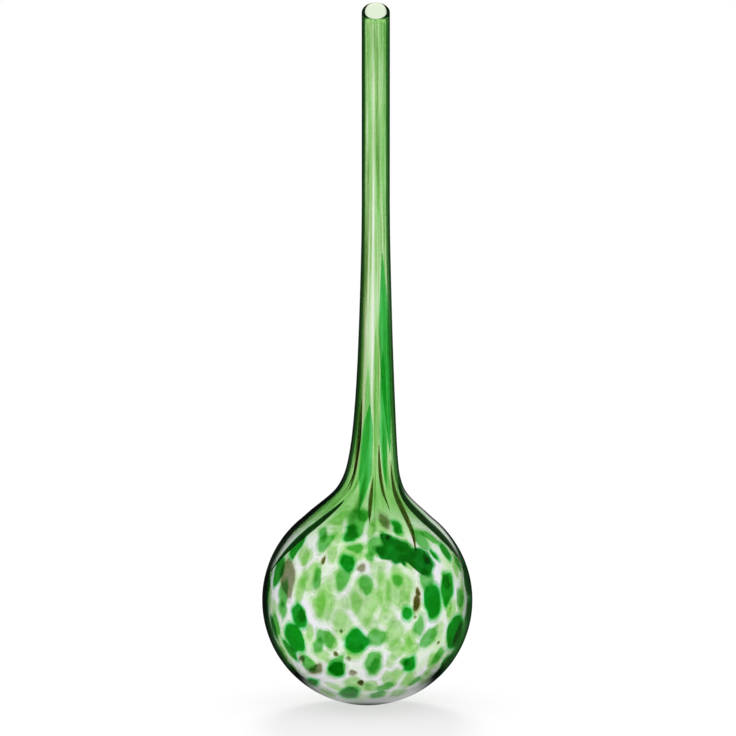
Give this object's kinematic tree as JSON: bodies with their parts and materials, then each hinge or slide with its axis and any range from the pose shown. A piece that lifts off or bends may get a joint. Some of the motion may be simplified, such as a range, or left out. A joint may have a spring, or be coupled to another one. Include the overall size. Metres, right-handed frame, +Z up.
{
  "type": "watering globe",
  "caption": "Blown glass plant watering globe: a round reservoir ball with flush coloured glass chips, drawn into a long thin tube with a slanted open mouth.",
  "frame": {"origin": "lowest point of the ball, under the ball's centre", "axes": "+Z up along the tube towards the mouth, -Y is the front that the slanted mouth faces, +X to the right seen from the front"},
  "size_m": [0.09, 0.09, 0.3],
  "materials": {
    "clear_glass": "polished",
    "deep_green_glass": "polished",
    "dark_green_glass": "polished",
    "leaf_green_glass": "polished",
    "light_green_glass": "polished",
    "pale_green_glass": "polished",
    "taupe_glass": "polished",
    "brown_glass": "polished",
    "olive_glass": "polished"
  },
  "bodies": {
    "root": {"glass_vessel": "clear_glass", "shoulder_deep_green_chips": "deep_green_glass", "shoulder_dark_green_cluster": "dark_green_glass", "shoulder_leaf_green_chips": "leaf_green_glass", "shoulder_light_green_chips": "light_green_glass", "shoulder_pale_green_chips": "pale_green_glass", "belly_deep_green_chips": "deep_green_glass", "belly_dark_green_chips": "dark_green_glass", "belly_leaf_green_chips": "leaf_green_glass", "belly_light_green_chips": "light_green_glass", "belly_pale_green_chips": "pale_green_glass", "base_deep_green_chips": "deep_green_glass", "base_leaf_green_chips": "leaf_green_glass", "base_light_green_chips": "light_green_glass", "base_pale_green_chips": "pale_green_glass", "taupe_chips": "taupe_glass", "brown_specks": "brown_glass", "shoulder_dark_green_bands": "dark_green_glass", "neck_deep_green_streaks": "deep_green_glass", "neck_leaf_green_streaks": "leaf_green_glass", "neck_light_green_streaks": "light_green_glass", "neck_brown_streaks": "brown_glass", "stem_light_green_streaks": "light_green_glass", "stem_leaf_green_streaks": "leaf_green_glass", "stem_olive_streaks": "olive_glass", "stem_pale_streaks": "pale_green_glass"}
  },
  "joints": []
}
